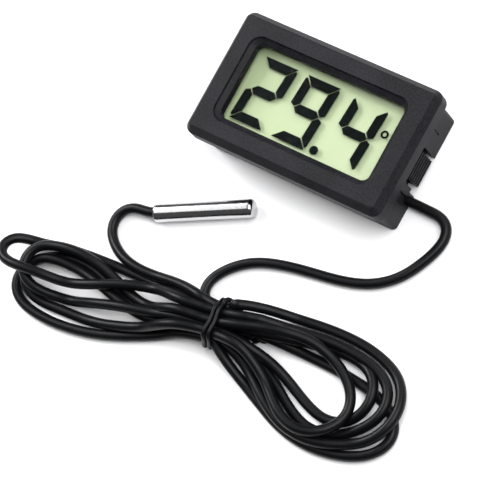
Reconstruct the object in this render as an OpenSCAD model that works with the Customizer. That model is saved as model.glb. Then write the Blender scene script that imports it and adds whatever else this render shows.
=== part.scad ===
// Panel-mount darkroom thermometer: a small LCD module with a steel probe on a thin cord.
// It lies on its back. The origin is the middle of the housing's rear face.
// +X points to the cable side, +Y to the top of the display, +Z out of the display.

/* [Housing] */
// Width of the bezel
bezel_w = 48; // [47:0.5:52]
// Height of the bezel
bezel_h = 28.6; // [28:0.2:32]
// Depth from the rear face to the face of the bezel
depth = 14.6; // [14.4:0.2:18]
// Thickness of the bezel in front of the panel
bezel_t = 5.2; // [5:0.1:5.4]
// Radius of the bezel's corners
bezel_r = 2; // [1.8:0.1:2.4]
// Width of the body that fills the panel cut-out
body_w = 45.9; // [45.5:0.1:46.4]
// Height of the body that fills the panel cut-out
body_h = 25.9; // [25.5:0.1:26.4]
// Wall thickness of the body
wall = 1.2; // [1:0.1:1.4]

/* [Display] */
// Width of the window
window_w = 36.4; // [34:0.2:37]
// Height of the window
window_h = 17.2; // [16:0.2:18]
// Height of a digit, between the middles of its top and bottom strokes
digit_h = 12.6; // [11:0.2:12.8]
// Width of a digit, between the middles of its side strokes
digit_w = 6.4; // [6:0.1:6.8]
// Width of a digit's strokes
stroke = 2; // [1.6:0.1:2.1]
// Number that the display shows, in tenths
shown_tenths = 294; // [100:1:999]

/* [Batteries] */
// Diameter of a button cell
cell_d = 11.6; // [11.4:0.1:11.7]
// Height of a button cell
cell_h = 5.4; // [5.2:0.1:5.5]

/* [Snap clips] */
// Width of a clip
clip_w = 5.8; // [5:0.1:6]
// Number of ribs on a clip
clip_ribs = 6; // [4:1:6]

/* [Probe and cord] */
// Diameter of the cord
cord_d = 2.2; // [1.8:0.1:2.2]
// Diameter of the probe
probe_d = 4; // [3.8:0.1:4.4]
// Length of the probe
probe_len = 22; // [20:0.5:24]
// Diameter of the wire of the tie
tie_wire = 0.9; // [0.8:0.1:1]

/* [Hidden] */
$fn = 48;

// Small distances that cuts run past a face, and that loose parts stand apart
past = 1;
play = 0.1;

// Bezel: the cut-back of its edge, and the recess round the window
bezel_back = depth - bezel_t;
chamfer_in = 1.3;
chamfer_drop = 1.9;
step_gap = 2.4;
step_r = 2.8;
step_drop = 0.5;
window_drop = 1.3;
slope_in = 1.2;
front_z = depth - 3.2;

// Inside of the body
cavity_w = body_w - 2 * wall;
cavity_h = body_h - 2 * wall;
cavity_r = 0.8;
side_x = body_w / 2;

// Display stack, from the front plate down
film_t = 0.1;
glass_t = 0.7;
ink_t = 0.1;
reflector_t = 0.2;
glass_w = 39.4;
glass_h = 20.6;
film_w = glass_w - 1;
film_h = glass_h - 1;
front_glass_z = front_z - film_t - glass_t;
ink_z = front_glass_z - ink_t;
rear_glass_z = ink_z - glass_t;
reflector_z = rear_glass_z - reflector_t;
zebra_w = 34;
zebra_h = 1;
zebra_y = -9.75;
reflector_h = 18.4;
reflector_y = 0.6;

// Digits: their middles, the lean of the strokes, and what the ends of the strokes are cut back by
digit_x = [-12.9, -2.35, 9.45];
digit_y = -0.15;
lean = 0.06;
slit = 0.18;
tip_cut = 0.35;
outer_x = (digit_w + stroke) / 2;
outer_y = (digit_h + stroke) / 2;
inner_x = (digit_w - stroke) / 2;
inner_y = (digit_h - stroke) / 2;
// Point and ring beside the digits
dot_r = 0.95;
dot_pos = [3.3, -6.6];
ring_r = 0.86;
ring_t = 0.42;
ring_pos = [15.5, 2.25];
// Strokes lit for each digit: top, top left, top right, middle, bottom left, bottom right, bottom
LIT = [
    [1, 1, 1, 0, 1, 1, 1], [0, 0, 1, 0, 0, 1, 0], [1, 0, 1, 1, 1, 0, 1], [1, 0, 1, 1, 0, 1, 1],
    [0, 1, 1, 1, 0, 1, 0], [1, 1, 0, 1, 0, 1, 1], [1, 1, 0, 1, 1, 1, 1], [1, 0, 1, 0, 0, 1, 0],
    [1, 1, 1, 1, 1, 1, 1], [1, 1, 1, 1, 0, 1, 1]
];

// Circuit board and what is on it
holder_z = 8.6;
board_t = 1;
board_z = holder_z - board_t;
board_w = cavity_w - 0.3;
board_h = cavity_h - 0.3;

// Snap clips: an arm on trunnions in the rear cover, in a slot of the side wall
slot_top = bezel_back - 0.1;
slot_y = [-4.2, 3.9];
relief_x = 20.5;
relief_y = 4.2;
arm_x = [21.75, 22.7];
arm_z = [0.3, 8.7];
rib_out = 0.6;
rib_pitch = 1.1;
rib_z = 0.9;
pivot_x = 21.1;
pivot_z = 0.95;
trunnion_r = 0.35;
trunnion_gap = 0.03;
ear_y = [2.05, 2.85];
ear_x = 21.55;
ear_z = [0.4, 1.5];

// Rear cover, battery bay and door
cover_t = 2;
cover_play = 0.1;
cell_x = cell_d / 2 + 0.3;
cell_z = 1.45;
bay_w = 26.8;
bay_h = 14.6;
bay_top = 6.4;
bay_gap = 3;
door_w = 26;
door_t = 1;
door_z = 0.15;
door_y = [-7.6, body_h / 2];
track_w = door_w + 0.6;
track_z = 1.45;
tongue_w = 0.9;
tongue_t = 0.5;
groove_w = 1.2;
groove_z = [0.55, 1.25];
hook_x = 16;
hook_w = 4;
hook_t = 0.9;
hook_z = [3.7, 4.5];
barb = 0.3;
pocket_w = 4.6;
pocket_y = cavity_h / 2 + 0.4;
pocket_z = [3.5, 4.7];

// Cable exit in the cable-side wall
exit_y = -6.5;
exit_z = 1.6;
grommet_w = 3;
grommet_top = 3.1;
grommet_x = [21.5, 23];
inner_end = 17.5;
cord_r = cord_d / 2;

// Probe: its open mouth, its heading and its thin wall
probe_mouth = [-26, -31];
probe_angle = 26.6;
probe_r = probe_d / 2;
sleeve_t = 0.3;
tip_r = 0.9;
potting_back = 0.3;
potting_len = 8;
bead_r = 0.8;
bead_at = 17;

// Route of the cord from the housing to the tied hank, and from the hank to the probe
LEAD = [
    [23, -6.5, 1.6], [25.5, -6.5, 1.5], [28, -6.6, 1.3], [30.4, -6.5, 1.1], [32.4, -7.3, 1.1],
    [33.6, -9.1, 1.1], [33.7, -11.5, 1.1], [32.9, -14.2, 1.1], [31.6, -17.1, 1.1], [29.8, -20.2, 1.1],
    [27.1, -23, 1.1], [23.7, -25.1, 1.1], [20, -26.4, 1.1], [15.9, -27.3, 1.1], [11.9, -27.9, 1.1],
    [7.8, -28.6, 1.1], [3.8, -29.5, 1.1], [0, -30.8, 1.1], [-3.2, -32.7, 1.1], [-5.9, -35.3, 1.1],
    [-7.6, -38, 1.1], [-7.9, -40.6, 1.1], [-6.4, -42.8, 1.1]
];
TAIL = [
    [-5.2, -42.8, 5.5], [-8, -42.4, 4.9], [-11, -42.3, 3.8], [-14, -42.4, 2.8], [-17, -42.7, 2.3],
    [-20, -43, 2.3], [-23, -43.1, 2.2], [-26, -42.8, 2], [-29, -41.9, 1.6], [-31.9, -40.3, 1.2],
    [-33.9, -38.2, 1.1], [-34.4, -35.4, 1.2], [-33.2, -33, 1.4], [-30.9, -31.7, 1.7],
    [-28.3, -31.7, 1.9], [-25.8, -30.9, 2]
];

// Tied hank: round corners of its two ends, its waist and the tie round the waist
HANK_LEFT = [[-6, -46.2, 4], [-36, -49.7, 3.6], [-50, -51.5, 4.4], [-46, -58, 4], [-37, -58.8, 4.2]];
HANK_RIGHT = [[3, -46, 4.4], [30, -40, 4.5], [38, -46, 6.2], [37, -54, 6.4], [27, -55.2, 5]];
hank_h = 4.6;
waist_x = [-6, 4];
waist_w = 9;
waist_z = [0.9, 7];
waist_y = -46;
tie_x = [-1.2, 0.2];

function unit(v) = v / norm(v);
function heading(route, i) = unit(route[min(i + 1, len(route) - 1)] - route[max(i - 1, 0)]);
function ring(p, dir, r, sides) =
    let (across = unit(cross([0, 0, 1], dir)), over = cross(dir, across))
    [for (k = [0 : sides - 1]) p + r * (cos(360 * k / sides) * across + sin(360 * k / sides) * over)];

// Round tube along a route
module tube(route, r, sides = 8) {
    n = len(route);
    points = [for (i = [0 : n - 1]) each ring(route[i], heading(route, i), r, sides)];
    skin = [
        for (i = [0 : n - 2], k = [0 : sides - 1])
            let (a = i * sides + k, b = i * sides + (k + 1) % sides)
            [a, b, b + sides, a + sides]
    ];
    start = [for (k = [sides - 1 : -1 : 0]) k];
    end = [for (k = [0 : sides - 1]) (n - 1) * sides + k];
    polyhedron(points, [start, each skin, end]);
}

// Rectangle with round corners
module rounded_rect(w, h, r) {
    square([w - 2 * r, h], center = true);
    square([w, h - 2 * r], center = true);
    for (x = [-1, 1], y = [-1, 1])
        translate([x * (w / 2 - r), y * (h / 2 - r)])
            circle(r);
}

module plate(w, h, r, t) {
    linear_extrude(t)
        rounded_rect(w, h, r);
}

// Box between two heights, two sides and two ends
module block(x, y, z) {
    translate([x[0], y[0], z[0]])
        cube([x[1] - x[0], y[1] - y[0], z[1] - z[0]]);
}

// Plate whose top edge is cut back by inset over a height of drop
module chamfered_plate(w, h, r, t, inset, drop) {
    function section(half) = [
        [-half, 0], [half, 0], [half, t - drop], [half - inset, t], [inset - half, t], [-half, t - drop]
    ];
    for (x = [-1, 1], y = [-1, 1])
        translate([x * (w / 2 - r), y * (h / 2 - r), 0])
            rotate_extrude()
                polygon([[0, 0], [r, 0], [r, t - drop], [r - inset, t], [0, t]]);
    rotate([90, 0, 90])
        linear_extrude(w - 2 * r, center = true)
            polygon(section(h / 2));
    rotate([90, 0, 0])
        linear_extrude(h - 2 * r, center = true)
            polygon(section(w / 2));
}

// The same thing on the left and on the right
module both_sides() {
    children();
    mirror([1, 0, 0])
        children();
}

module window_recess() {
    step_w = window_w + step_gap;
    step_h = window_h + step_gap;
    translate([0, 0, depth - window_drop + past + slope_in])
        mirror([0, 0, 1])
            chamfered_plate(step_w, step_h, step_r, past + slope_in, slope_in, window_drop - step_drop);
    translate([0, 0, front_z - past])
        plate(window_w, window_h, step_r - slope_in, depth);
}

module cable_notch() {
    block([grommet_x[0] - past, side_x + past], [exit_y - grommet_w / 2, slot_y[0] + past], [-past, grommet_top]);
}

module front_housing() {
    line_y = [7.9, -8.1];
    line_z = [4, 9];
    channel_y = [-7.7, -6.1];
    color("#3d3e44")
        difference() {
            union() {
                translate([0, 0, bezel_back])
                    chamfered_plate(bezel_w, bezel_h, bezel_r, bezel_t, chamfer_in, chamfer_drop);
                plate(body_w, body_h, 1, bezel_back + past);
            }
            translate([0, 0, -past])
                plate(cavity_w, cavity_h, cavity_r, front_z + past);
            window_recess();
            cable_notch();
            both_sides()
                block([side_x - wall - past, side_x + past], slot_y, [-past, slot_top]);
            // shallow cable channel and two mould lines beside it
            block([side_x - 0.4, side_x + past], channel_y, [-past, bezel_back]);
            for (y = line_y)
                block([side_x - 0.2, side_x + past], [y - 0.2, y + 0.2], line_z);
            // way out for the battery door
            block([-track_w / 2 - groove_w, track_w / 2 + groove_w], [cavity_h / 2 - past, body_h], [-past, track_z]);
            // pockets that the cover's hooks snap into
            for (x = [-hook_x, hook_x])
                block([x - pocket_w / 2, x + pocket_w / 2], [-pocket_y, pocket_y], pocket_z);
        }
}

// Upright hook with a small barb, on the +Y side of the cover
module cover_hook() {
    face = cavity_h / 2 - cover_play;
    translate([hook_w / 2, 0, 0])
        rotate([90, 0, -90])
            linear_extrude(hook_w)
                polygon([
                    [face - hook_t, cover_t - 0.2], [face, cover_t - 0.2], [face, hook_z[0]],
                    [face + barb, hook_z[0]], [face, hook_z[1]], [face - hook_t, hook_z[1]]
                ]);
}

module rear_cover() {
    color("#34353a")
        difference() {
            union() {
                difference() {
                    plate(cavity_w - 2 * cover_play, cavity_h - 2 * cover_play, cavity_r, cover_t);
                    both_sides()
                        block([relief_x - 0.1, body_w], [-relief_y, relief_y], [-past, cover_t + past]);
                    cable_notch();
                }
                translate([0, 0, bay_top / 2])
                    cube([bay_w, bay_h, bay_top], center = true);
                for (x = [-hook_x, hook_x], side = [0, 1])
                    translate([x, 0, 0])
                        mirror([0, side, 0])
                            cover_hook();
                both_sides()
                    for (side = [0, 1])
                        mirror([0, side, 0])
                            block([relief_x - past, ear_x], ear_y, ear_z);
            }
            // cells, and the room between them
            both_sides()
                translate([cell_x, 0, -past])
                    cylinder(r = cell_d / 2 + 0.2, h = bay_top + 2 * past);
            block([-bay_gap, bay_gap], [-bay_gap, bay_gap], [-past, bay_top + past]);
            // track of the battery door
            block([-track_w / 2, track_w / 2], [door_y[0] - 0.3, body_h], [-past, track_z]);
            block([-track_w / 2 - groove_w, track_w / 2 + groove_w], [door_y[0] - 0.3, body_h], groove_z);
            // channel that the cord lies in
            translate([inner_end - past, exit_y, exit_z])
                rotate([0, 90, 0])
                    cylinder(r = cord_r + 0.05, h = 2 * past + body_w / 2 - inner_end);
            block([inner_end - past, body_w], [exit_y - cord_r - 0.05, exit_y + cord_r + 0.05], [exit_z, bay_top]);
            both_sides()
                translate([pivot_x, 0, pivot_z])
                    rotate([90, 0, 0])
                        cylinder(r = trunnion_r + trunnion_gap, h = 2 * ear_y[1] + past, center = true);
        }
}

module battery_door() {
    grip_pitch = 1.4;
    color("#393a3f")
        difference() {
            union() {
                block([-door_w / 2, door_w / 2], door_y, [door_z, door_z + door_t]);
                block([-door_w / 2 - tongue_w, door_w / 2 + tongue_w], [door_y[0], 11.5],
                    [door_z + door_t - tongue_t, door_z + door_t]);
            }
            // grip grooves across the outer face
            for (i = [0 : 3])
                block([-5, 5], [6 + i * grip_pitch, 6.6 + i * grip_pitch], [0, door_z + 0.25]);
        }
}

// Snap arm on the +X side: a rib's steep face looks at the bezel
module snap_clip() {
    y = [-clip_w / 2, clip_w / 2];
    block(arm_x, y, arm_z);
    block([pivot_x - trunnion_r, arm_x[0] + 0.1], [-1.9, 1.9], [pivot_z - trunnion_r, pivot_z + trunnion_r]);
    translate([pivot_x, 0, pivot_z])
        rotate([90, 0, 0])
            cylinder(r = trunnion_r, h = 2 * ear_y[1] - 0.1, center = true);
    for (i = [0 : clip_ribs - 1])
        translate([arm_x[1], y[1], rib_z + i * rib_pitch])
            rotate([90, 0, 0])
                linear_extrude(clip_w)
                    polygon([[-0.2, 0], [0, 0], [rib_out, 0.55], [rib_out, 0.8], [0, 0.8], [-0.2, 0.8]]);
}

module clip_left() {
    color("#2e2f34")
        mirror([1, 0, 0])
            snap_clip();
}

module clip_right() {
    color("#2e2f34")
        snap_clip();
}

module lcd_front_polariser() {
    color("#c9dcae", 0.3)
        translate([0, 0, front_z - film_t])
            plate(film_w, film_h, 0.3, film_t);
}

module lcd_front_glass() {
    color("#d5e4c4", 0.3)
        translate([0, 0, front_glass_z])
            plate(glass_w, glass_h, 0.2, glass_t);
}

module lcd_rear_glass() {
    color("#d5e4c4", 0.4)
        translate([0, 0, rear_glass_z])
            plate(glass_w, glass_h, 0.2, glass_t);
}

module lcd_reflector() {
    color("#c8deaa")
        translate([0, reflector_y, reflector_z])
            plate(film_w, reflector_h, 0.2, reflector_t);
}

// Outlines of the strokes of a digit: across its top, up its right side, and across its middle
TOP_STROKE = [
    [slit - outer_x, outer_y], [outer_x - slit, outer_y], [inner_x - slit, inner_y], [slit - inner_x, inner_y]
];
SIDE_STROKE = [
    [inner_x, inner_y - slit], [outer_x - tip_cut, outer_y - slit - tip_cut],
    [outer_x, outer_y - slit - 2 * tip_cut], [outer_x, stroke / 3], [digit_w / 2, slit],
    [inner_x, stroke / 2 + slit]
];
MIDDLE_STROKE = [
    [slit - digit_w / 2, 0], [slit + (stroke - digit_w) / 2, stroke / 2],
    [(digit_w - stroke) / 2 - slit, stroke / 2], [digit_w / 2 - slit, 0],
    [(digit_w - stroke) / 2 - slit, -stroke / 2], [slit + (stroke - digit_w) / 2, -stroke / 2]
];

// Seven-stroke digit about the origin, leaning to the right
module digit(value) {
    // outline of each stroke, and its side of the middle along X and Y
    strokes = [
        [TOP_STROKE, 1, 1], [SIDE_STROKE, -1, 1], [SIDE_STROKE, 1, 1], [MIDDLE_STROKE, 1, 1],
        [SIDE_STROKE, -1, -1], [SIDE_STROKE, 1, -1], [TOP_STROKE, 1, -1]
    ];
    multmatrix([[1, lean, 0, 0], [0, 1, 0, 0], [0, 0, 1, 0], [0, 0, 0, 1]])
        for (i = [0 : 6])
            if (LIT[value][i] == 1)
                polygon([for (p = strokes[i][0]) [p[0] * strokes[i][1], p[1] * strokes[i][2]]]);
}

module lcd_segments() {
    values = [floor(shown_tenths / 100), floor(shown_tenths / 10) % 10, shown_tenths % 10];
    color("#15180f")
        translate([0, 0, ink_z])
            linear_extrude(ink_t) {
                for (i = [0 : 2])
                    translate([digit_x[i], digit_y])
                        digit(values[i]);
                translate(dot_pos)
                    circle(dot_r);
                translate(ring_pos)
                    difference() {
                        circle(ring_r);
                        circle(ring_r - ring_t);
                    }
            }
}

module clip_relief(z) {
    both_sides()
        block([relief_x, body_w], [-relief_y, relief_y], z);
}

module lcd_holder() {
    color("#e6e4dc")
        difference() {
            translate([0, 0, holder_z])
                plate(board_w, board_h, cavity_r, front_z - film_t - holder_z);
            translate([0, 0, rear_glass_z])
                plate(glass_w + play, glass_h + play, 0.2, past + glass_t * 2);
            translate([0, reflector_y, holder_z - past])
                plate(film_w + play, reflector_h + play, 0.2, depth);
            translate([0, zebra_y, holder_z - past])
                plate(zebra_w + play, zebra_h + play, 0.2, depth);
            clip_relief([0, depth]);
        }
}

module zebra_strip() {
    color("#d8a0a8")
        translate([0, zebra_y, holder_z])
            plate(zebra_w, zebra_h, 0.1, rear_glass_z - holder_z);
}

module main_pcb() {
    color("#2d6b3c")
        difference() {
            translate([0, 0, board_z])
                plate(board_w, board_h, cavity_r, board_t);
            clip_relief([0, depth]);
        }
}

// Drop of epoxy over the bare chip, under the board
module chip_blob() {
    blob_r = 3.2;
    color("#16161a")
        intersection() {
            translate([-17, 6.5, board_z + 1.9])
                sphere(blob_r);
            translate([-17, 6.5, board_z - 1])
                cube([8, 8, 2], center = true);
        }
}

module smd_resistors() {
    color("#26262a")
        for (i = [0 : 4])
            block([-10 + 3 * i, -8.4 + 3 * i], [-9.7, -8.9], [board_z - 0.5, board_z]);
}

module smd_capacitors() {
    color("#b9a07a")
        for (i = [0 : 2])
            block([-10 + 3 * i, -8.4 + 3 * i], [8.8, 9.6], [board_z - 0.8, board_z]);
}

module clock_crystal() {
    color("#c4c6ca")
        translate([4, 9.3, board_z - 1.05]) {
            rotate([0, 90, 0])
                cylinder(r = 1, h = 6);
            for (y = [-0.4, 0.4])
                translate([-2, y, 0]) {
                    rotate([0, 90, 0])
                        cylinder(r = 0.15, h = 2);
                    cylinder(r = 0.15, h = 1.05);
                }
        }
}

// Bent strip from the board down to a cell, seen from the front and drawn along +X
module leaf_contact(width) {
    top = board_z;
    low = cell_z + cell_h;
    rotate([90, 0, 0])
        linear_extrude(width, center = true)
            polygon([
                [-4, top], [-4, top - 0.2], [-1, top - 0.2], [2, low], [2.8, low], [3.4, low + 0.3],
                [3.4, low + 0.5], [2.8, low + 0.2], [2, low + 0.2], [-1, top]
            ]);
}

module contact_negative() {
    color("#d9d3a6")
        translate([-cell_x, 0, 0])
            leaf_contact(2.4);
}

module contact_positive() {
    color("#d9d3a6")
        translate([cell_x, 0, 0])
            mirror([1, 0, 0])
                leaf_contact(4);
}

module contact_bridge() {
    color("#d9d3a6")
        translate([0, 0, door_z + door_t])
            plate(18, 4, 1, 0.2);
}

// Button cell with its narrow cap on top
module button_cell() {
    r = cell_d / 2;
    color("#c9cbcf")
        rotate_extrude()
            polygon([
                [0, 0], [r - 0.4, 0], [r, 0.4], [r, cell_h - 0.9], [r - 0.5, cell_h - 0.5],
                [r - 1, cell_h - 0.5], [r - 1.1, cell_h], [0, cell_h]
            ]);
}

module button_cell_1() {
    translate([-cell_x, 0, cell_z])
        button_cell();
}

module button_cell_2() {
    translate([cell_x, 0, cell_z + cell_h])
        mirror([0, 0, 1])
            button_cell();
}

module along_exit(x0, x1, r) {
    translate([x0, exit_y, exit_z])
        rotate([0, 90, 0])
            cylinder(r = r, h = x1 - x0);
}

module cable_grommet() {
    color("#1d1d20")
        difference() {
            block(grommet_x, [exit_y - grommet_w / 2, exit_y + grommet_w / 2], [0.1, grommet_top]);
            along_exit(grommet_x[0] - past, grommet_x[1] + past, cord_r);
        }
}

module cable_inner() {
    color("#1d1d20")
        along_exit(inner_end, grommet_x[1], cord_r);
}

// Two wires from the end of the cord's jacket up to the board
module sensor_wires() {
    wire_r = 0.35;
    rise = [[inner_end, exit_z], [16.9, 2.2], [16.2, 3.2], [15.5, 4.6], [15, 6.1], [14.6, board_z]];
    for (side = [-1, 1])
        color(side < 0 ? "#a02020" : "#e8e8e8")
            tube([for (i = [0 : len(rise) - 1]) [rise[i][0], exit_y + side * (0.45 + 0.1 * i), rise[i][1]]], wire_r);
}

// Frame of the probe: its axis runs along +X from its mouth
module on_probe() {
    translate([probe_mouth[0], probe_mouth[1], probe_r])
        rotate([0, 0, probe_angle])
            rotate([0, 90, 0])
                children();
}

module probe_sleeve() {
    bore_r = probe_r - sleeve_t;
    color("#d4d6da")
        on_probe()
            difference() {
                union() {
                    cylinder(r = probe_r, h = probe_len - tip_r);
                    cylinder(r = probe_r - tip_r, h = probe_len);
                    translate([0, 0, probe_len - tip_r])
                        rotate_extrude()
                            translate([probe_r - tip_r, 0])
                                intersection() {
                                    circle(tip_r);
                                    square(tip_r + past);
                                }
                }
                translate([0, 0, -past])
                    cylinder(r = bore_r, h = probe_len - 1 + past);
            }
}

module probe_potting() {
    color("#19191c")
        on_probe()
            translate([0, 0, potting_back])
                cylinder(r = probe_r - sleeve_t, h = potting_len);
}

module thermistor_bead() {
    color("#1c2430")
        on_probe()
            translate([0, 0, bead_at])
                sphere(bead_r);
}

module thermistor_leads() {
    start = potting_back + potting_len;
    color("#c8a878")
        on_probe()
            for (y = [-0.4, 0.4])
                translate([0, y, start])
                    cylinder(r = 0.12, h = bead_at - start - 0.6);
}

module cord_lead() {
    color("#222326")
        tube(LEAD, cord_r);
}

module cord_tail() {
    color("#222326")
        tube(TAIL, cord_r);
}

module hank_end(corners) {
    linear_extrude(hank_h)
        hull()
            for (c = corners)
                translate([c[0], c[1]])
                    circle(c[2], $fn = 32);
}

module cord_hank() {
    color("#222326")
        difference() {
            union() {
                hank_end(HANK_LEFT);
                hank_end(HANK_RIGHT);
                block(waist_x, [waist_y - waist_w / 2, waist_y + waist_w / 2], waist_z);
            }
            block(tie_x - [tie_wire, -tie_wire], [waist_y - 6, waist_y + 6], [-past, waist_z[0]]);
        }
}

module cord_tie() {
    mid_z = (waist_z[0] + waist_z[1]) / 2;
    high = waist_z[1] - waist_z[0];
    color("#1a1a1c")
        for (x = tie_x)
            translate([x, waist_y, mid_z])
                rotate([90, 0, 90])
                    linear_extrude(tie_wire, center = true)
                        difference() {
                            rounded_rect(waist_w + 2 * tie_wire, high + 2 * tie_wire, tie_wire);
                            square([waist_w, high], center = true);
                        }
}

front_housing();
rear_cover();
battery_door();
clip_left();
clip_right();
lcd_front_polariser();
lcd_front_glass();
lcd_segments();
lcd_rear_glass();
lcd_reflector();
lcd_holder();
zebra_strip();
main_pcb();
chip_blob();
smd_resistors();
smd_capacitors();
clock_crystal();
contact_negative();
contact_positive();
contact_bridge();
button_cell_1();
button_cell_2();
cable_grommet();
cable_inner();
sensor_wires();
probe_sleeve();
probe_potting();
thermistor_bead();
thermistor_leads();
cord_lead();
cord_tail();
cord_hank();
cord_tie();
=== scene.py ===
"""Darkroom thermometer: display housing, tied hank of cord and steel probe, lying on a pale floor."""
import math

import bpy
import numpy as np
from mathutils import Matrix, Vector


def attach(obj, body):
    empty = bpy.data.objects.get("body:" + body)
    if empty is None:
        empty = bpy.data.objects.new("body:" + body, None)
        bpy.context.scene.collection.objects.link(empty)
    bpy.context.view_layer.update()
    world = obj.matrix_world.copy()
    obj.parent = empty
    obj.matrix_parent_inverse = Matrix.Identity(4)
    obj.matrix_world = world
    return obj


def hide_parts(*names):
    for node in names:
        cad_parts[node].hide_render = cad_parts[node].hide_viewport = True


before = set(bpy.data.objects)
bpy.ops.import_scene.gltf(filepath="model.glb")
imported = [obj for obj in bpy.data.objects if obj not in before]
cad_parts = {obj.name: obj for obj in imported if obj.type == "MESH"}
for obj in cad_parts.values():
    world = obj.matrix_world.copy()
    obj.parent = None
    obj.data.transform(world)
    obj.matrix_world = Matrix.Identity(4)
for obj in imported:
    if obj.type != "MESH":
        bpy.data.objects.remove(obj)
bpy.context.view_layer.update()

MM = 0.001
scene = bpy.context.scene
scene.view_settings.view_transform = "Standard"
# Light passes through the three clear sheets of the display on its way in, and again on its way out
scene.cycles.transparent_max_bounces = 24

# ---------------------------------------------------------------- camera


def add_camera(eye, target, roll_degrees, lens):
    """Camera at eye that looks at target, turned about its own axis."""
    data = bpy.data.cameras.new("view_camera")
    data.lens = lens
    data.clip_start = 0.01
    data.clip_end = 5
    forward = (target - eye).normalized()
    level = forward.cross(Vector((0, 0, 1))).normalized()
    upright = level.cross(forward)
    roll = math.radians(roll_degrees)
    right = level * math.cos(roll) + upright * math.sin(roll)
    up = right.cross(forward)
    camera = bpy.data.objects.new("view_camera", data)
    camera.matrix_world = Matrix.Translation(eye) @ Matrix((right, up, -forward)).transposed().to_4x4()
    scene.collection.objects.link(camera)
    scene.camera = camera


add_camera(Vector((0.225, -0.0823, 0.4563)), Vector((-0.0038, -0.0292, 0)), -49.5, 180)

# ---------------------------------------------------------------- cord, in millimetres

CORD_R = 1.1
EXIT = (23, -6.5, 1.6)
TIE_X = -1.2
WRAP_X = (-1.3, -0.2)
WRAP_SLANT = (-0.6, -0.9)
WIRE_R = 0.45

# From the housing to the tie, and from the tie to the probe: the points of part.scad
LEAD = [
    EXIT, (25.5, -6.5, 1.5), (28, -6.6, 1.3), (30.4, -6.5, 1.1), (32.4, -7.3, 1.1),
    (33.6, -9.1, 1.1), (33.7, -11.5, 1.1), (32.9, -14.2, 1.1), (31.6, -17.1, 1.1), (29.8, -20.2, 1.1),
    (27.1, -23, 1.1), (23.7, -25.1, 1.1), (20, -26.4, 1.1), (15.9, -27.3, 1.1), (11.9, -27.9, 1.1),
    (7.8, -28.6, 1.1), (3.8, -29.5, 1.1), (0, -30.8, 1.1), (-3.2, -32.7, 1.1), (-5.9, -35.3, 1.1),
    (-7.6, -38, 1.1), (-7.9, -40.6, 1.1), (-6.4, -42.8, 1.1),
]
TAIL = [
    (-5.2, -42.8, 5.5), (-8, -42.4, 4.9), (-11, -42.3, 3.8), (-14, -42.4, 2.8), (-17, -42.7, 2.3),
    (-20, -43, 2.3), (-23, -43.1, 2.2), (-26, -42.8, 2), (-29, -41.9, 1.6), (-31.9, -40.3, 1.2),
    (-33.9, -38.2, 1.1), (-34.4, -35.4, 1.2), (-33.2, -33, 1.4), (-30.9, -31.7, 1.7),
    (-28.3, -31.7, 1.9), (-25.8, -30.9, 2),
]
# Twisted end of the tie, lying on the floor under the right-hand turns
TIE_END = [(1.5, -46.6), (5, -45.6), (8.5, -44.9), (12, -42.4), (15.5, -40.3), (19, -39.3)]

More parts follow.
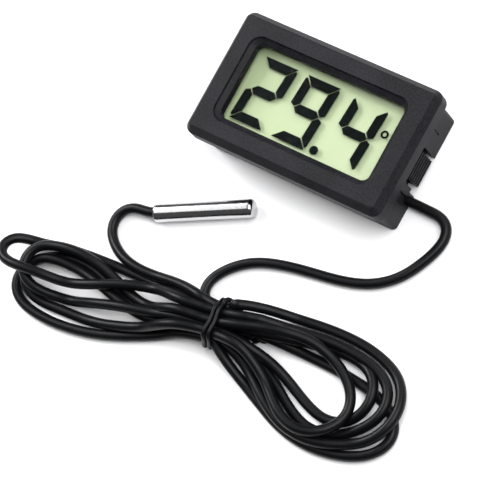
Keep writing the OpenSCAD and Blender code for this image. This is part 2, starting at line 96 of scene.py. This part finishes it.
# Turns of the hank, in the order in which the cord runs through them. Each one has the y of its
# place in the tie, how late it was laid on its way out and on its way back, and its points.
TURNS = [
    (-44, 1, 1, [
        (3, -44.3), (8, -44), (19, -43.4), (31, -43.6), (39, -45), (43.2, -48), (43.9, -51.6),
        (41.6, -55.2), (37, -57.8), (29, -59.4), (22, -58.7), (15, -56.2), (7, -52.8), (2, -50.2)]),
    (-48.4, 4, 4, [
        (-9, -50), (-16, -51.4), (-22, -51.1), (-28, -49.9), (-35, -48.9), (-42, -49.4), (-45.1, -50.7),
        (-46.4, -53.8), (-45.1, -56.9), (-42, -58.2), (-34, -57.9), (-26.5, -57.1), (-19.5, -55.2),
        (-12, -52.2), (-6.4, -49.8)]),
    (-48.4, 9, 9, [
        (3, -48.2), (8, -48.2), (13.5, -50.8), (18.3, -54.3), (23, -57.1), (28, -57.5), (32.4, -54.6),
        (34, -50.4), (32.4, -46.2), (28, -42.8), (21, -40.8), (14.4, -41.7), (8, -43.6), (3.4, -45.2)]),
    (-46.2, 6, 6, [
        (-9, -47.4), (-14, -48.9), (-19, -49.1), (-24.5, -47.8), (-30, -46.3), (-36, -45.8), (-42, -46.8),
        (-45.4, -48.3), (-46.8, -51.7), (-45.4, -55.1), (-42, -56.5), (-35, -55.6), (-28, -53.9),
        (-21, -51.9), (-14.4, -50.2), (-8.6, -48.6)]),
    (-47.3, 4, 4, [
        (4, -47.2), (10, -47.5), (14, -48.1), (18, -49.4), (21.2, -50.8), (25, -52.3), (29.4, -53.2),
        (33.6, -52), (36.6, -48.6), (36.8, -44.4), (34.1, -41), (28, -39.7), (22, -40.5), (15, -42.4),
        (8, -44.2), (3, -45)]),
    (-45.1, 5.5, 8, [
        (-10, -44.3), (-20, -44.3), (-30, -44.8), (-40, -46), (-46, -47.2), (-49.8, -48), (-52.1, -49),
        (-53, -51.2), (-52.1, -53.4), (-49.8, -54.3), (-42, -53.6), (-36.4, -52.8), (-30.7, -51),
        (-25.7, -48.7), (-20, -46.4), (-15, -45.2), (-9, -45.2)]),
    (-44, 5, 2, [
        (3, -43.2), (9, -41.4), (16, -40.1), (23, -39), (30, -39), (36, -40.2), (39.4, -42.8),
        (40.5, -46), (39.4, -49.6), (36.6, -52.6), (32.6, -55.2), (27, -56.2), (22, -54.6),
        (16, -51.2), (10, -48.2), (4, -46.7)]),
    (-46.2, 2, 2, [
        (-8, -48.2), (-15, -50.2), (-21, -50.1), (-27, -48.8), (-33, -47.2), (-39, -47.4),
        (-44.5, -49.6), (-48, -53.4), (-47.9, -57.6), (-44.6, -60.2), (-39, -61.1), (-33, -60.8),
        (-26, -59.4), (-19.6, -57.1), (-13.5, -54.2), (-7.6, -51.2)]),
    (-49.5, 3, 3, [
        (3, -49), (7, -49.9), (11.5, -52.4), (17.5, -56), (23, -58.2), (29.5, -58.4), (36, -56),
        (41, -52.4), (43, -48.4), (43, -44.6), (41, -41), (37.4, -38.4), (31, -36.7), (24, -36.5),
        (17, -37.2), (10.4, -38.4), (4, -40.5)]),
]
LAST_SLOT = -42.9
TAIL_ORDER = 5.75

# How the strands settle on each other and in the tie
TOUCH = 1.93 * CORD_R
SAG_SPAN = 14
SAG_RUN = 36
TIE_TOP = -41.5
TIE_HALF_SPAN = 2.2
TIE_END_Z = 0.9
TIE_END_REACH = 1.8
PRESS = 0.4
PRESS_SPAN = 7


def spline(points, spacing):
    """Smooth line through the points, in even steps."""
    p = np.array(points, float)
    u = np.r_[0, np.cumsum(np.sqrt(np.linalg.norm(np.diff(p[:, :2], axis=0), axis=1)))]
    h = np.diff(u)[:, None]
    slope = np.diff(p, axis=0) / h
    m = np.vstack([slope[:1], (h[1:] * slope[:-1] + h[:-1] * slope[1:]) / (h[1:] + h[:-1]), slope[-1:]])
    t = np.linspace(0, u[-1], 16 * len(p))
    k = np.clip(np.searchsorted(u, t, side="right") - 1, 0, len(u) - 2)
    w = ((t - u[k]) / (u[k + 1] - u[k]))[:, None]
    a = w * w * (3 - 2 * w)
    fine = (1 - a) * p[k] + a * p[k + 1]
    fine += h[k] * w * (1 - w) * ((1 - w) * m[k] - w * m[k + 1])
    run = np.r_[0, np.cumsum(np.linalg.norm(np.diff(fine[:, :2], axis=0), axis=1))]
    at = np.linspace(0, run[-1], int(run[-1] / spacing) + 1)
    return np.stack([np.interp(at, run, fine[:, c]) for c in range(p.shape[1])], axis=1), k[
        np.searchsorted(run, at).clip(0, len(k) - 1)]


def soften(values, sigma):
    """Running average that leaves the ends where they are."""
    n = int(3 * sigma) + 1
    weight = np.exp(-np.arange(-n, n + 1) ** 2 / (2 * sigma * sigma))
    before = 2 * values[0] - values[n:0:-1]
    after = 2 * values[-1] - values[-2:-n - 2:-1]
    return np.convolve(np.r_[before, values, after], weight / weight.sum(), "valid")


def plan_route():
    """Points of the whole cord from above, each with its own height and the order in which it was laid."""
    points = [(*p, 0) for p in LEAD]
    for slot, out, back, stations in TURNS:
        points.append((TIE_X, slot, CORD_R, out))
        half = len(stations) // 2
        points += [(*s, CORD_R, out if i < half else back) for i, s in enumerate(stations)]
    points.append((TIE_X, LAST_SLOT, CORD_R, TAIL_ORDER))
    points += [(*p, TAIL_ORDER) for p in TAIL]
    line, piece = spline([p[:3] for p in points], 1.0)
    order = np.array([p[3] for p in points])[piece]
    line[:, 0] = soften(line[:, 0], 1.5)
    line[:, 1] = soften(line[:, 1], 1.5)
    return line, order


def distance_to(path, points):
    """Distance from each point to a path of straight pieces, seen from above."""
    a, b = path[:-1, None, :2], path[1:, None, :2]
    along = (((points[None] - a) * (b - a)).sum(2) / ((b - a) ** 2).sum(2)).clip(0, 1)[..., None]
    return np.linalg.norm(points[None] - a - along * (b - a), axis=2).min(0)


def settle(line, order, low):
    """Heights of the cord's points when each stretch rests on those that were laid before it."""
    run = np.r_[0, np.cumsum(np.linalg.norm(np.diff(line[:, :2], axis=0), axis=1))]
    gap = ((line[:, None, :2] - line[None, :, :2]) ** 2).sum(2)
    apart = np.abs(run[:, None] - run[None])
    reach = TOUCH ** 2
    over = (gap < reach) & (order[:, None] > order[None]) & (apart > 4 * CORD_R)
    lift = np.sqrt(np.maximum(reach - gap, 0))
    sag = np.where(apart < SAG_SPAN, apart ** 2 / SAG_RUN, np.inf)
    z = low.copy()
    for _ in range(4):
        for k in sorted(set(order))[1:]:
            me, under = np.where(order == k)[0], np.where(order < k)[0]
            pick = np.ix_(me, under)
            z[me] = np.maximum(low[me], np.where(over[pick], z[under] + lift[pick], 0).max(1))
        z = np.maximum(soften((z[None] - sag).max(1), 2), low)
    return z


cord_line, cord_order = plan_route()
tie_end_line, _ = spline([(*p, TIE_END_Z) for p in TIE_END], 0.5)
off_tie_end = distance_to(tie_end_line, cord_line[:, :2])
over_tie_end = np.sqrt(np.maximum(TIE_END_REACH ** 2 - off_tie_end ** 2, 0)) + TIE_END_Z
off_tie = cord_line[:, 0] - np.mean(WRAP_X)
below_top = cord_line[:, 1] < TIE_TOP
in_tie = np.exp(-(off_tie / TIE_HALF_SPAN) ** 2) * below_top
lowest = np.maximum(cord_line[:, 2], CORD_R + 2 * WIRE_R * in_tie)
lowest = np.where(over_tie_end > TIE_END_Z + 0.05, np.maximum(lowest, over_tie_end), lowest)
cord_line[:, 2] = settle(cord_line, cord_order, lowest)
# The tie presses the strands together
pressed = PRESS * np.exp(-(off_tie / PRESS_SPAN) ** 2) * below_top
cord_line[:, 2] -= pressed * (cord_line[:, 2] - lowest)


def add_object(name, data, body="housing"):
    """Object with this data, riding on a body."""
    item = bpy.data.objects.new(name, data)
    scene.collection.objects.link(item)
    if body:
        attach(item, body)
    return item


# ---------------------------------------------------------------- materials


class Nodes:
    """Node tree of one material, with short ways to add and join nodes."""

    def __init__(self, name):
        self.material = bpy.data.materials.new(name)
        self.material.use_nodes = True
        self.tree = self.material.node_tree
        self.shader = self.tree.nodes["Principled BSDF"]
        self.place = self.add("ShaderNodeTexCoord").outputs["Object"]

    def add(self, kind, **values):
        node = self.tree.nodes.new(kind)
        for key, value in values.items():
            if key in node.inputs:
                node.inputs[key].default_value = value
            else:
                setattr(node, key, value)
        return node

    def join(self, source, node, socket):
        self.tree.links.new(source, node.inputs[socket])

    def noise(self, scale, detail=3.0, stretch=(1, 1, 1)):
        mapping = self.add("ShaderNodeMapping")
        mapping.inputs["Scale"].default_value = stretch
        self.join(self.place, mapping, "Vector")
        noise = self.add("ShaderNodeTexNoise", Scale=scale, Detail=detail)
        self.join(mapping.outputs["Vector"], noise, "Vector")
        return noise.outputs["Fac"]

    def spread(self, fac, low, high, start=0.3, end=0.7):
        """A value that runs from low to high as fac does from start to end."""
        ranged = self.add("ShaderNodeMapRange")
        for socket, value in (("From Min", start), ("From Max", end), ("To Min", low), ("To Max", high)):
            ranged.inputs[socket].default_value = value
        self.join(fac, ranged, "Value")
        return ranged.outputs["Result"]

    def mix(self, fac, a, b):
        """Colour between a and b, each a colour or a socket."""
        mixed = self.add("ShaderNodeMix", data_type="RGBA")
        self.tree.links.new(fac, mixed.inputs[0])
        for socket, value in ((mixed.inputs[6], a), (mixed.inputs[7], b)):
            if isinstance(value, tuple):
                socket.default_value = (*value, 1)
            else:
                self.tree.links.new(value, socket)
        return mixed.outputs[2]

    def bump(self, height, depth):
        bump = self.add("ShaderNodeBump", Distance=depth, Strength=1.0)
        self.join(height, bump, "Height")
        self.join(bump.outputs["Normal"], self.shader, "Normal")


CLOUD_SCALE = 120.0
ROUGH_SPAN = 0.06


def grained(name, dark, light, rough, grain, depth, metal=0.0, coat=0.0, stretch=(1, 1, 1),
            gloss=0.5, speckle=0.5):
    """Opaque finish: cloudy, speckled colour between dark and light, uneven gloss and a fine grain."""
    m = Nodes(name)
    clouds = m.noise(CLOUD_SCALE, 4.0)
    fine = m.noise(grain, 2.0, stretch)
    both = m.add("ShaderNodeMath", operation="MULTIPLY_ADD")
    m.join(fine, both, 0)
    both.inputs[1].default_value = speckle
    m.join(m.spread(clouds, 0.25 - speckle / 2, 0.75 - speckle / 2), both, 2)
    m.join(m.mix(both.outputs[0], dark, light), m.shader, "Base Color")
    m.join(m.spread(fine, rough - ROUGH_SPAN, rough + ROUGH_SPAN), m.shader, "Roughness")
    m.bump(fine, depth)
    m.shader.inputs["Metallic"].default_value = metal
    m.shader.inputs["Specular IOR Level"].default_value = gloss
    m.shader.inputs["Coat Weight"].default_value = coat
    m.shader.inputs["Coat Roughness"].default_value = 0.25
    return m


def glassy(name, tint, share):
    """Thin clear sheet: a shader with a light gloss, mixed with see-through."""
    m = Nodes(name)
    haze = m.noise(160, 3.0)
    m.join(m.mix(m.spread(haze, 0, 1), tint, tuple(0.9 * c for c in tint)), m.shader, "Base Color")
    m.join(m.spread(haze, 0.04, 0.1), m.shader, "Roughness")
    clear = m.add("ShaderNodeBsdfTransparent")
    mixed = m.add("ShaderNodeMixShader")
    mixed.inputs[0].default_value = share
    m.tree.links.new(m.shader.outputs[0], mixed.inputs[1])
    m.tree.links.new(clear.outputs[0], mixed.inputs[2])
    m.tree.links.new(mixed.outputs[0], m.tree.nodes["Material Output"].inputs["Surface"])
    return m


def reflector_finish():
    """Yellow-green backing, with painted light that makes it a little lighter towards +X."""
    m = Nodes("lcd_backing")
    axes = m.add("ShaderNodeSeparateXYZ")
    m.join(m.place, axes, "Vector")
    # Painted light: the backing's colour grows lighter towards +X
    slope = m.spread(axes.outputs["X"], 0, 1, -0.02, 0.02)
    clouds = m.noise(90, 2.0)
    mixed = m.add("ShaderNodeMath", operation="MULTIPLY_ADD")
    m.join(clouds, mixed, 0)
    mixed.inputs[1].default_value = 0.35
    m.join(slope, mixed, 2)
    m.join(m.mix(mixed.outputs[0], (0.39, 0.485, 0.27), (0.435, 0.52, 0.315)), m.shader, "Base Color")
    fine = m.noise(14000, 2.0)
    m.join(m.spread(fine, 0.45, 0.6), m.shader, "Roughness")
    m.bump(fine, 4e-6)
    return m


def board_finish():
    """Green solder mask over a pattern of copper tracks."""
    m = Nodes("board")
    tracks = m.add("ShaderNodeTexBrick", Scale=260.0)
    tracks.inputs["Color1"].default_value = (0.016, 0.10, 0.035, 1)
    tracks.inputs["Color2"].default_value = (0.020, 0.13, 0.045, 1)
    tracks.inputs["Mortar"].default_value = (0.05, 0.24, 0.09, 1)
    tracks.inputs["Mortar Size"].default_value = 0.04
    m.join(m.place, tracks, "Vector")
    fine = m.noise(5000, 2.0)
    m.join(m.mix(m.spread(fine, 0, 0.3), tracks.outputs["Color"], (0.03, 0.16, 0.06)), m.shader, "Base Color")
    m.join(m.spread(fine, 0.3, 0.42), m.shader, "Roughness")
    m.bump(tracks.outputs["Fac"], 3e-5)
    return m


# A finish is its name, darkest and lightest colour, roughness, scale of its grain and depth of its grain
HOUSING = grained("housing_plastic", (0.003, 0.003, 0.0044), (0.015, 0.015, 0.0185), 0.5, 2400, 3.0e-5,
                  gloss=0.14, speckle=2.2)
COVER = grained("cover_plastic", (0.0045, 0.0045, 0.006), (0.016, 0.016, 0.019), 0.5, 2400, 2.6e-5,
                gloss=0.2, speckle=1.8)
CLIP = grained("clip_plastic", (0.007, 0.007, 0.0085), (0.011, 0.011, 0.013), 0.42, 4800, 1.2e-5, gloss=0.2)
JACKET = grained("cord_jacket", (0.0015, 0.0016, 0.0021), (0.0034, 0.0036, 0.0046), 0.36, 2600, 1.6e-5,
                 gloss=0.15)
TIE = grained("tie_plastic", (0.0016, 0.0017, 0.0022), (0.004, 0.0042, 0.005), 0.36, 3200, 2.0e-5, gloss=0.15)
STEEL = grained("probe_steel", (0.50, 0.50, 0.51), (0.60, 0.60, 0.61), 0.17, 2600, 1.2e-6, metal=1.0)
POTTING = grained("potting", (0.012, 0.012, 0.014), (0.030, 0.030, 0.034), 0.38, 2800, 4.0e-5)
EPOXY = grained("epoxy", (0.008, 0.008, 0.009), (0.016, 0.016, 0.018), 0.22, 1500, 2.0e-5, coat=0.4)
RESISTOR = grained("resistor", (0.012, 0.012, 0.013), (0.04, 0.04, 0.042), 0.4, 6000, 1.0e-5)
CERAMIC = grained("ceramic", (0.38, 0.27, 0.15), (0.50, 0.37, 0.22), 0.5, 6000, 1.0e-5)
CAN = grained("can_steel", (0.55, 0.56, 0.58), (0.70, 0.71, 0.73), 0.28, 3000, 4.0e-6, metal=1.0)
CONTACT = grained("contact_metal", (0.62, 0.56, 0.36), (0.74, 0.68, 0.46), 0.3, 3000, 4.0e-6, metal=1.0)
CELL = grained("cell_steel", (0.60, 0.61, 0.63), (0.74, 0.75, 0.77), 0.26, 2500, 3.0e-6, metal=1.0,
               stretch=(1, 1, 6))
WIRES = grained("wire_insulation", (0.32, 0.02, 0.02), (0.45, 0.04, 0.035), 0.4, 3000, 1.0e-5)
LEADS = grained("lead_wire", (0.60, 0.42, 0.26), (0.75, 0.55, 0.36), 0.35, 3000, 4.0e-6, metal=1.0)
HOLDER = grained("holder_plastic", (0.66, 0.65, 0.60), (0.76, 0.75, 0.70), 0.5, 5000, 1.0e-5)
ZEBRA = grained("zebra_rubber", (0.30, 0.16, 0.18), (0.55, 0.34, 0.38), 0.6, 2500, 1.0e-5, stretch=(6, 1, 1))
INK = grained("lcd_ink", (0.004, 0.005, 0.005), (0.007, 0.009, 0.009), 0.8, 7000, 2.0e-6, gloss=0.0)
CLEAR_SHARE = 0.985
GLASS = glassy("lcd_glass", (0.010, 0.014, 0.008), CLEAR_SHARE)
FILM = glassy("lcd_film", (0.012, 0.015, 0.010), CLEAR_SHARE)
BACKING = reflector_finish()
BOARD = board_finish()


def paint(item, finish):
    """The item, with this finish as its only material."""
    item.data.materials.clear()
    item.data.materials.append(finish.material)
    return item


# ---------------------------------------------------------------- mesh helpers, in millimetres


def mesh_from(name, points, faces):
    """Mesh of these points, given in millimetres."""
    mesh = bpy.data.meshes.new(name)
    mesh.from_pydata([tuple(np.array(p) * MM) for p in points], [], faces)
    mesh.validate()
    mesh.update()
    return mesh


def shade(mesh, degrees=38):
    """Smooth shading that keeps edges sharper than this angle."""
    mesh.shade_smooth()
    mesh.set_sharp_from_angle(angle=math.radians(degrees))


def rounded_profile(profile, radius, steps=3):
    """Closed section whose corners are rounded. A point is (half width, half height, corner radius, z)."""
    out = []
    n = len(profile)
    for i in range(n):
        before, here, after = (np.array(profile[(i + k) % n], float) for k in (-1, 0, 1))
        size = min(radius, 0.45 * np.linalg.norm((here - before)[[0, 3]]),
                   0.45 * np.linalg.norm((after - here)[[0, 3]]))
        a = here + (before - here) * size / np.linalg.norm((before - here)[[0, 3]])
        b = here + (after - here) * size / np.linalg.norm((after - here)[[0, 3]])
        for k in range(steps + 1):
            t = k / steps
            out.append((1 - t) ** 2 * a + 2 * t * (1 - t) * here + t * t * b)
    return out


def rounded_loop(half_w, half_h, r, z, per_corner=8):
    """Outline of a plate with round corners at height z."""
    points = []
    for corner, (sx, sy) in enumerate(((1, 1), (-1, 1), (-1, -1), (1, -1))):
        for k in range(per_corner + 1):
            angle = math.pi / 2 * (corner + k / per_corner)
            x = sx * (half_w - r) + r * math.cos(angle)
            y = sy * (half_h - r) + r * math.sin(angle)
            points.append((x, y, z))
    return points


def closed_loft(name, loops):
    """Ring-shaped solid through loops that return to the first one."""
    n, m = len(loops[0]), len(loops)
    points = [p for loop in loops for p in loop]
    faces = [(i * n + k, i * n + (k + 1) % n, (i + 1) % m * n + (k + 1) % n, (i + 1) % m * n + k)
             for i in range(m) for k in range(n)]
    return mesh_from(name, points, faces)


def boxes(name, spans):
    """Mesh of separate boxes, each given by its spans along X, Y and Z."""
    points, faces = [], []
    for xs, ys, zs in spans:
        base = len(points)
        points += [(x, y, z) for z in zs for y in ys for x in xs]
        faces += [tuple(base + i for i in face) for face in (
            (0, 2, 3, 1), (4, 5, 7, 6), (0, 1, 5, 4), (2, 6, 7, 3), (0, 4, 6, 2), (1, 3, 7, 5))]
    return mesh_from(name, points, faces)


def cut(item, *groups):
    """Cuts groups of boxes out of item, one group after the other."""
    for spans in groups:
        cutter = bpy.data.objects.new("cutter", boxes("cutter", spans))
        scene.collection.objects.link(cutter)
        step = item.modifiers.new("cut", "BOOLEAN")
        step.operation = "DIFFERENCE"
        step.solver = "EXACT"
        step.object = cutter
        mesh = bpy.data.meshes.new_from_object(item.evaluated_get(bpy.context.evaluated_depsgraph_get()))
        item.modifiers.clear()
        item.data = mesh
        bpy.data.objects.remove(cutter)


def even_normals(item):
    """Shading that follows the large faces."""
    weigh = item.modifiers.new("even_normals", "WEIGHTED_NORMAL")
    weigh.keep_sharp = True
    weigh.weight = 80


def tube(name, path, radius, sides=12):
    """Round tube along a path, with closed ends."""
    p = np.array(path, float)
    heading = np.gradient(p, axis=0)
    heading /= np.linalg.norm(heading, axis=1)[:, None]
    side = np.cross(heading[0], (0.3, 0.2, 0.93))
    points = []
    for i in range(len(p)):
        side = side - heading[i] * side.dot(heading[i])
        side /= np.linalg.norm(side)
        other = np.cross(heading[i], side)
        for k in range(sides):
            a = 2 * math.pi * k / sides
            points.append(p[i] + radius * (side * math.cos(a) + other * math.sin(a)))
    faces = [(at + k, at + (k + 1) % sides, at + sides + (k + 1) % sides, at + sides + k)
             for at in range(0, (len(p) - 1) * sides, sides) for k in range(sides)]
    faces += [tuple(range(sides - 1, -1, -1)), tuple(range((len(p) - 1) * sides, len(p) * sides))]
    mesh = mesh_from(name, points, faces)
    shade(mesh, 60)
    return mesh


cord_path, _ = spline(cord_line, 0.7)
cord = add_object("cord", tube("cord", cord_path, CORD_R, 14))
paint(cord, JACKET)
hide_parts("cord_lead", "cord_tail", "cord_hank")

# ---------------------------------------------------------------- housing

FACE_Z = 14.6
BEZEL_BACK = 9.4
PLATE_Z = 11.4
SECTION = [
    (18.2, 8.6, 1.6, PLATE_Z), (18.2, 8.6, 1.6, 13.3), (19.4, 9.8, 2.8, 14.1), (19.4, 9.8, 2.8, FACE_Z),
    (22.7, 13.0, 0.7, FACE_Z), (24, 14.3, 2, 12.7), (24, 14.3, 2, BEZEL_BACK),
    (22.95, 12.95, 1, BEZEL_BACK), (22.95, 12.95, 1, 0), (21.75, 11.75, 0.8, 0), (21.75, 11.75, 0.8, PLATE_Z),
]
loops = [rounded_loop(*p) for p in rounded_profile(SECTION, 0.16)]
housing = add_object("housing_shell", closed_loft("housing_shell", loops))
# Openings, by their spans along X, Y and Z
CLIP_SLOT = ((20.7, 24), (-4.2, 3.9), (-1, 9.3))
CLIP_SLOT_LEFT = ((-24, -20.7), *CLIP_SLOT[1:])
DOOR_GAP = ((-14.5, 14.5), (10.7, 14), (-1, 1.45))
CATCHES = [
    ((x - 2.3, x + 2.3), (side - 0.6, side + 0.6), (3.5, 4.7)) for x in (-16, 16) for side in (-11.55, 11.55)]
CORD_NOTCH = ((20.5, 24), (-8, -3.2), (-1, 3.1))
CORD_CHANNEL = ((22.55, 24), (-7.7, -6.1), (3.0, BEZEL_BACK))
WALL_LINES = [((22.75, 24), (y - 0.2, y + 0.2), (4, 9)) for y in (7.9, -8.1)]
cut(housing, [CLIP_SLOT, CLIP_SLOT_LEFT, DOOR_GAP, *CATCHES], [CORD_NOTCH], [CORD_CHANNEL, *WALL_LINES])
shade(housing.data)
even_normals(housing)
paint(housing, HOUSING)
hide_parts("front_housing")

# ---------------------------------------------------------------- probe

PROBE_MOUTH = (-26, -31, 2)
PROBE_ANGLE = math.radians(26.6)


def lathe(name, section, sides=64):
    """Solid of revolution about the probe's axis, from (distance from the mouth, radius) pairs."""
    turn = Matrix.Translation(Vector(PROBE_MOUTH)) @ Matrix.Rotation(PROBE_ANGLE, 4, "Z")
    points = []
    for along, r in section:
        for k in range(sides):
            a = 2 * math.pi * k / sides
            points.append(turn @ Vector((along, r * math.cos(a), r * math.sin(a))))
    n = len(section)
    faces = [(at + k, at + sides + k, at + sides + (k + 1) % sides, at + (k + 1) % sides)
             for at in range(0, (n - 1) * sides, sides) for k in range(sides)]
    faces += [tuple(range(sides)), tuple(range(n * sides - 1, (n - 1) * sides - 1, -1))]
    mesh = mesh_from(name, points, faces)
    shade(mesh, 50)
    return mesh


dome = [(21.1 + 0.9 * math.sin(a), 1.1 + 0.9 * math.cos(a)) for a in np.radians(np.arange(0, 91, 9))]
lip = [(0.5, 1.7), (0.06, 1.7), (0, 1.78), (0, 1.92), (0.08, 2)]
sleeve = add_object("probe_tube", lathe("probe_tube", [
    (8, 1.7), *lip, (0.5, 2), (20.6, 2), *dome, (22, 0.3)]))
paint(sleeve, STEEL)
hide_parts("probe_sleeve")

plug = add_object("probe_plug", lathe("probe_plug", [
    (8.3, 1.69), (0.9, 1.69), (0.5, 1.66), (0.1, 1.5), (-0.25, 1.25), (-0.5, 1.1), (-0.6, 0.9)]))
paint(plug, POTTING)
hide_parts("probe_potting")

# ---------------------------------------------------------------- tie


def hull(points):
    """Corners of the outline round some points, counter-clockwise."""
    points = sorted(map(tuple, points))

    def half(run):
        out = []
        for p in run:
            while len(out) > 1 and np.cross(np.subtract(out[-1], out[-2]), np.subtract(p, out[-2])) <= 0:
                out.pop()
            out.append(p)
        return out[:-1]

    return half(points) + half(points[::-1])


def wrap_path(x, slant):
    """Loop of wire drawn tight round the strands of the hank at x."""
    near = [p for p in cord_line if abs(p[0] - x) < 0.8 and p[1] < TIE_TOP]
    reach = CORD_R + WIRE_R
    around = [(p[1] + reach * math.cos(a), max(p[2] + reach * math.sin(a), WIRE_R))
              for p in near for a in np.radians(np.arange(0, 360, 15))]
    outline = np.array(hull(around))
    outline = np.vstack([outline, outline[:1]])
    run = np.r_[0, np.cumsum(np.linalg.norm(np.diff(outline, axis=0), axis=1))]
    at = np.linspace(0, run[-1], 90)
    y, z = (soften(np.interp(at, run, outline[:, c]), 1.2) for c in (0, 1))
    lean = x + slant * (y - y.mean()) / np.ptp(y) + 0.16 * (z - 1) + 0.12 * np.sin(at * 1.3)
    return np.c_[lean, y, z]


def joined(name, meshes):
    """One mesh of several."""
    points, faces = [], []
    for mesh in meshes:
        base = len(points)
        points += [v.co / MM for v in mesh.vertices]
        faces += [tuple(base + i for i in f.vertices) for f in mesh.polygons]
    result = mesh_from(name, points, faces)
    shade(result, 60)
    return result


def twist(path, radius, pitch, phase):
    """One wire of a twisted pair that follows the path."""
    heading = np.gradient(path, axis=0)
    heading /= np.linalg.norm(heading, axis=1)[:, None]
    side = np.cross(heading, (0, 0, 1))
    side /= np.linalg.norm(side, axis=1)[:, None]
    over = np.cross(side, heading)
    angle = (np.arange(len(path)) * 0.5 / pitch * 2 * math.pi + phase)[:, None]
    return path + radius * (side * np.cos(angle) + over * np.sin(angle))


first, second = (wrap_path(x, slant) for x, slant in zip(WRAP_X, WRAP_SLANT))
wraps = add_object("tie_wraps", joined("tie_wraps", [tube("wrap", w, WIRE_R) for w in (first, second)]))
paint(wraps, TIE)
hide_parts("cord_tie")

pair = [tube("pair", twist(tie_end_line, 0.42, 4.2, phase), 0.46) for phase in (0, math.pi)]
tie_end = add_object("tie_end", joined("tie_end", pair))
paint(tie_end, TIE)

edge = second[second[:, 1].argmax()]
knot_line, _ = spline([
    (edge[0] + 0.1, edge[1] - 1.6, edge[2] + 1.4), (edge[0] + 0.3, edge[1] - 0.6, edge[2] + 1.0),
    (edge[0] + 1.2, edge[1] + 0.1, edge[2] - 0.1), (edge[0] + 2.1, edge[1] + 0.0, edge[2] - 1.2),
    (edge[0] + 2.8, edge[1] - 0.7, edge[2] - 2.2)], 0.5)
knot_pair = [tube("pair", twist(knot_line, 0.44, 3.2, phase), 0.47) for phase in (0, math.pi)]
knot = add_object("tie_knot", joined("tie_knot", knot_pair))
paint(knot, TIE)

# ---------------------------------------------------------------- CAD pieces

# Each node's finish and the width of its softened edges
LOOKS = {
    "rear_cover": (COVER, 0.12), "battery_door": (COVER, 0.12), "clip_left": (CLIP, 0.07),
    "clip_right": (CLIP, 0.07), "cable_grommet": (JACKET, 0.12), "cable_inner": (JACKET, 0),
    "lcd_front_polariser": (FILM, 0), "lcd_front_glass": (GLASS, 0), "lcd_segments": (INK, 0),
    "lcd_rear_glass": (GLASS, 0), "lcd_reflector": (BACKING, 0), "lcd_holder": (HOLDER, 0.1),
    "zebra_strip": (ZEBRA, 0), "main_pcb": (BOARD, 0), "chip_blob": (EPOXY, 0),
    "smd_resistors": (RESISTOR, 0.05), "smd_capacitors": (CERAMIC, 0.05), "clock_crystal": (CAN, 0),
    "contact_negative": (CONTACT, 0),
    "contact_positive": (CONTACT, 0), "contact_bridge": (CONTACT, 0), "button_cell_1": (CELL, 0),
    "button_cell_2": (CELL, 0), "sensor_wires": (WIRES, 0), "thermistor_bead": (EPOXY, 0),
    "thermistor_leads": (LEADS, 0),
}
# The display's sheets touch in the CAD: a hairline between them keeps their faces apart for the light
GAPS = {"lcd_front_polariser": 0.06, "lcd_front_glass": 0.03, "lcd_rear_glass": -0.03, "lcd_reflector": -0.06}
for name, (finish, edge_width) in LOOKS.items():
    node = paint(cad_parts[name], finish)
    shade(node.data)
    if name in GAPS:
        apart = node.modifiers.new("hairline_gap", "DISPLACE")
        apart.direction = "Z"
        apart.mid_level = 0
        apart.strength = GAPS[name] * MM
    if edge_width:
        bevel = node.modifiers.new("soft_edges", "BEVEL")
        bevel.width = edge_width * MM
        bevel.segments = 2
        bevel.limit_method = "ANGLE"
        bevel.angle_limit = math.radians(40)
        bevel.harden_normals = True


# ---------------------------------------------------------------- floor and light


FLOOR_Z = -0.02


def add_floor():
    """Plain pale floor, just under the object."""
    corners = [(x, y, FLOOR_Z) for x, y in ((-900, -900), (900, -900), (900, 900), (-900, 900))]
    floor = add_object("floor", mesh_from("floor", corners, [(0, 1, 2, 3)]), body=None)
    m = Nodes("floor_white")
    m.join(m.mix(m.noise(20, 2.0), (0.86, 0.86, 0.87), (0.88, 0.88, 0.89)), m.shader, "Base Color")
    m.shader.inputs["Roughness"].default_value = 0.6
    paint(floor, m)


def add_light(name, place, size, power, aim=None):
    """Softbox at place, turned to aim, or facing straight down and square to the probe."""
    data = bpy.data.lights.new(name, "AREA")
    data.shape = "RECTANGLE"
    data.size, data.size_y = size
    data.energy = power
    lamp = bpy.data.objects.new(name, data)
    lamp.location = place
    if aim:
        lamp.rotation_euler = (Vector(aim) - Vector(place)).to_track_quat("-Z", "Y").to_euler()
    else:
        lamp.rotation_euler = (0, 0, PROBE_ANGLE)
    scene.collection.objects.link(lamp)


def add_world(level):
    """Even white light from all round."""
    world = bpy.data.worlds.new("studio")
    world.use_nodes = True
    world.node_tree.nodes["Background"].inputs["Color"].default_value = (1, 1, 1, 1)
    world.node_tree.nodes["Background"].inputs["Strength"].default_value = level
    scene.world = world


add_floor()
add_world(0.09)
MIDDLE = (0, -0.03, 0)
add_light("over", (-0.635, -0.005, 0.75), (0.6, 1.04), 3.5)
add_light("top", (0.36, 0.16, 0.8), (0.7, 0.7), 9.5)
add_light("right", (0.62, 0.31, 0.58), (0.8, 0.8), 2, MIDDLE)
add_light("left", (-0.78, 0.12, 0.58), (0.45, 0.45), 8, MIDDLE)
add_light("back", (0.05, 0.72, 0.55), (0.7, 0.5), 3, MIDDLE)
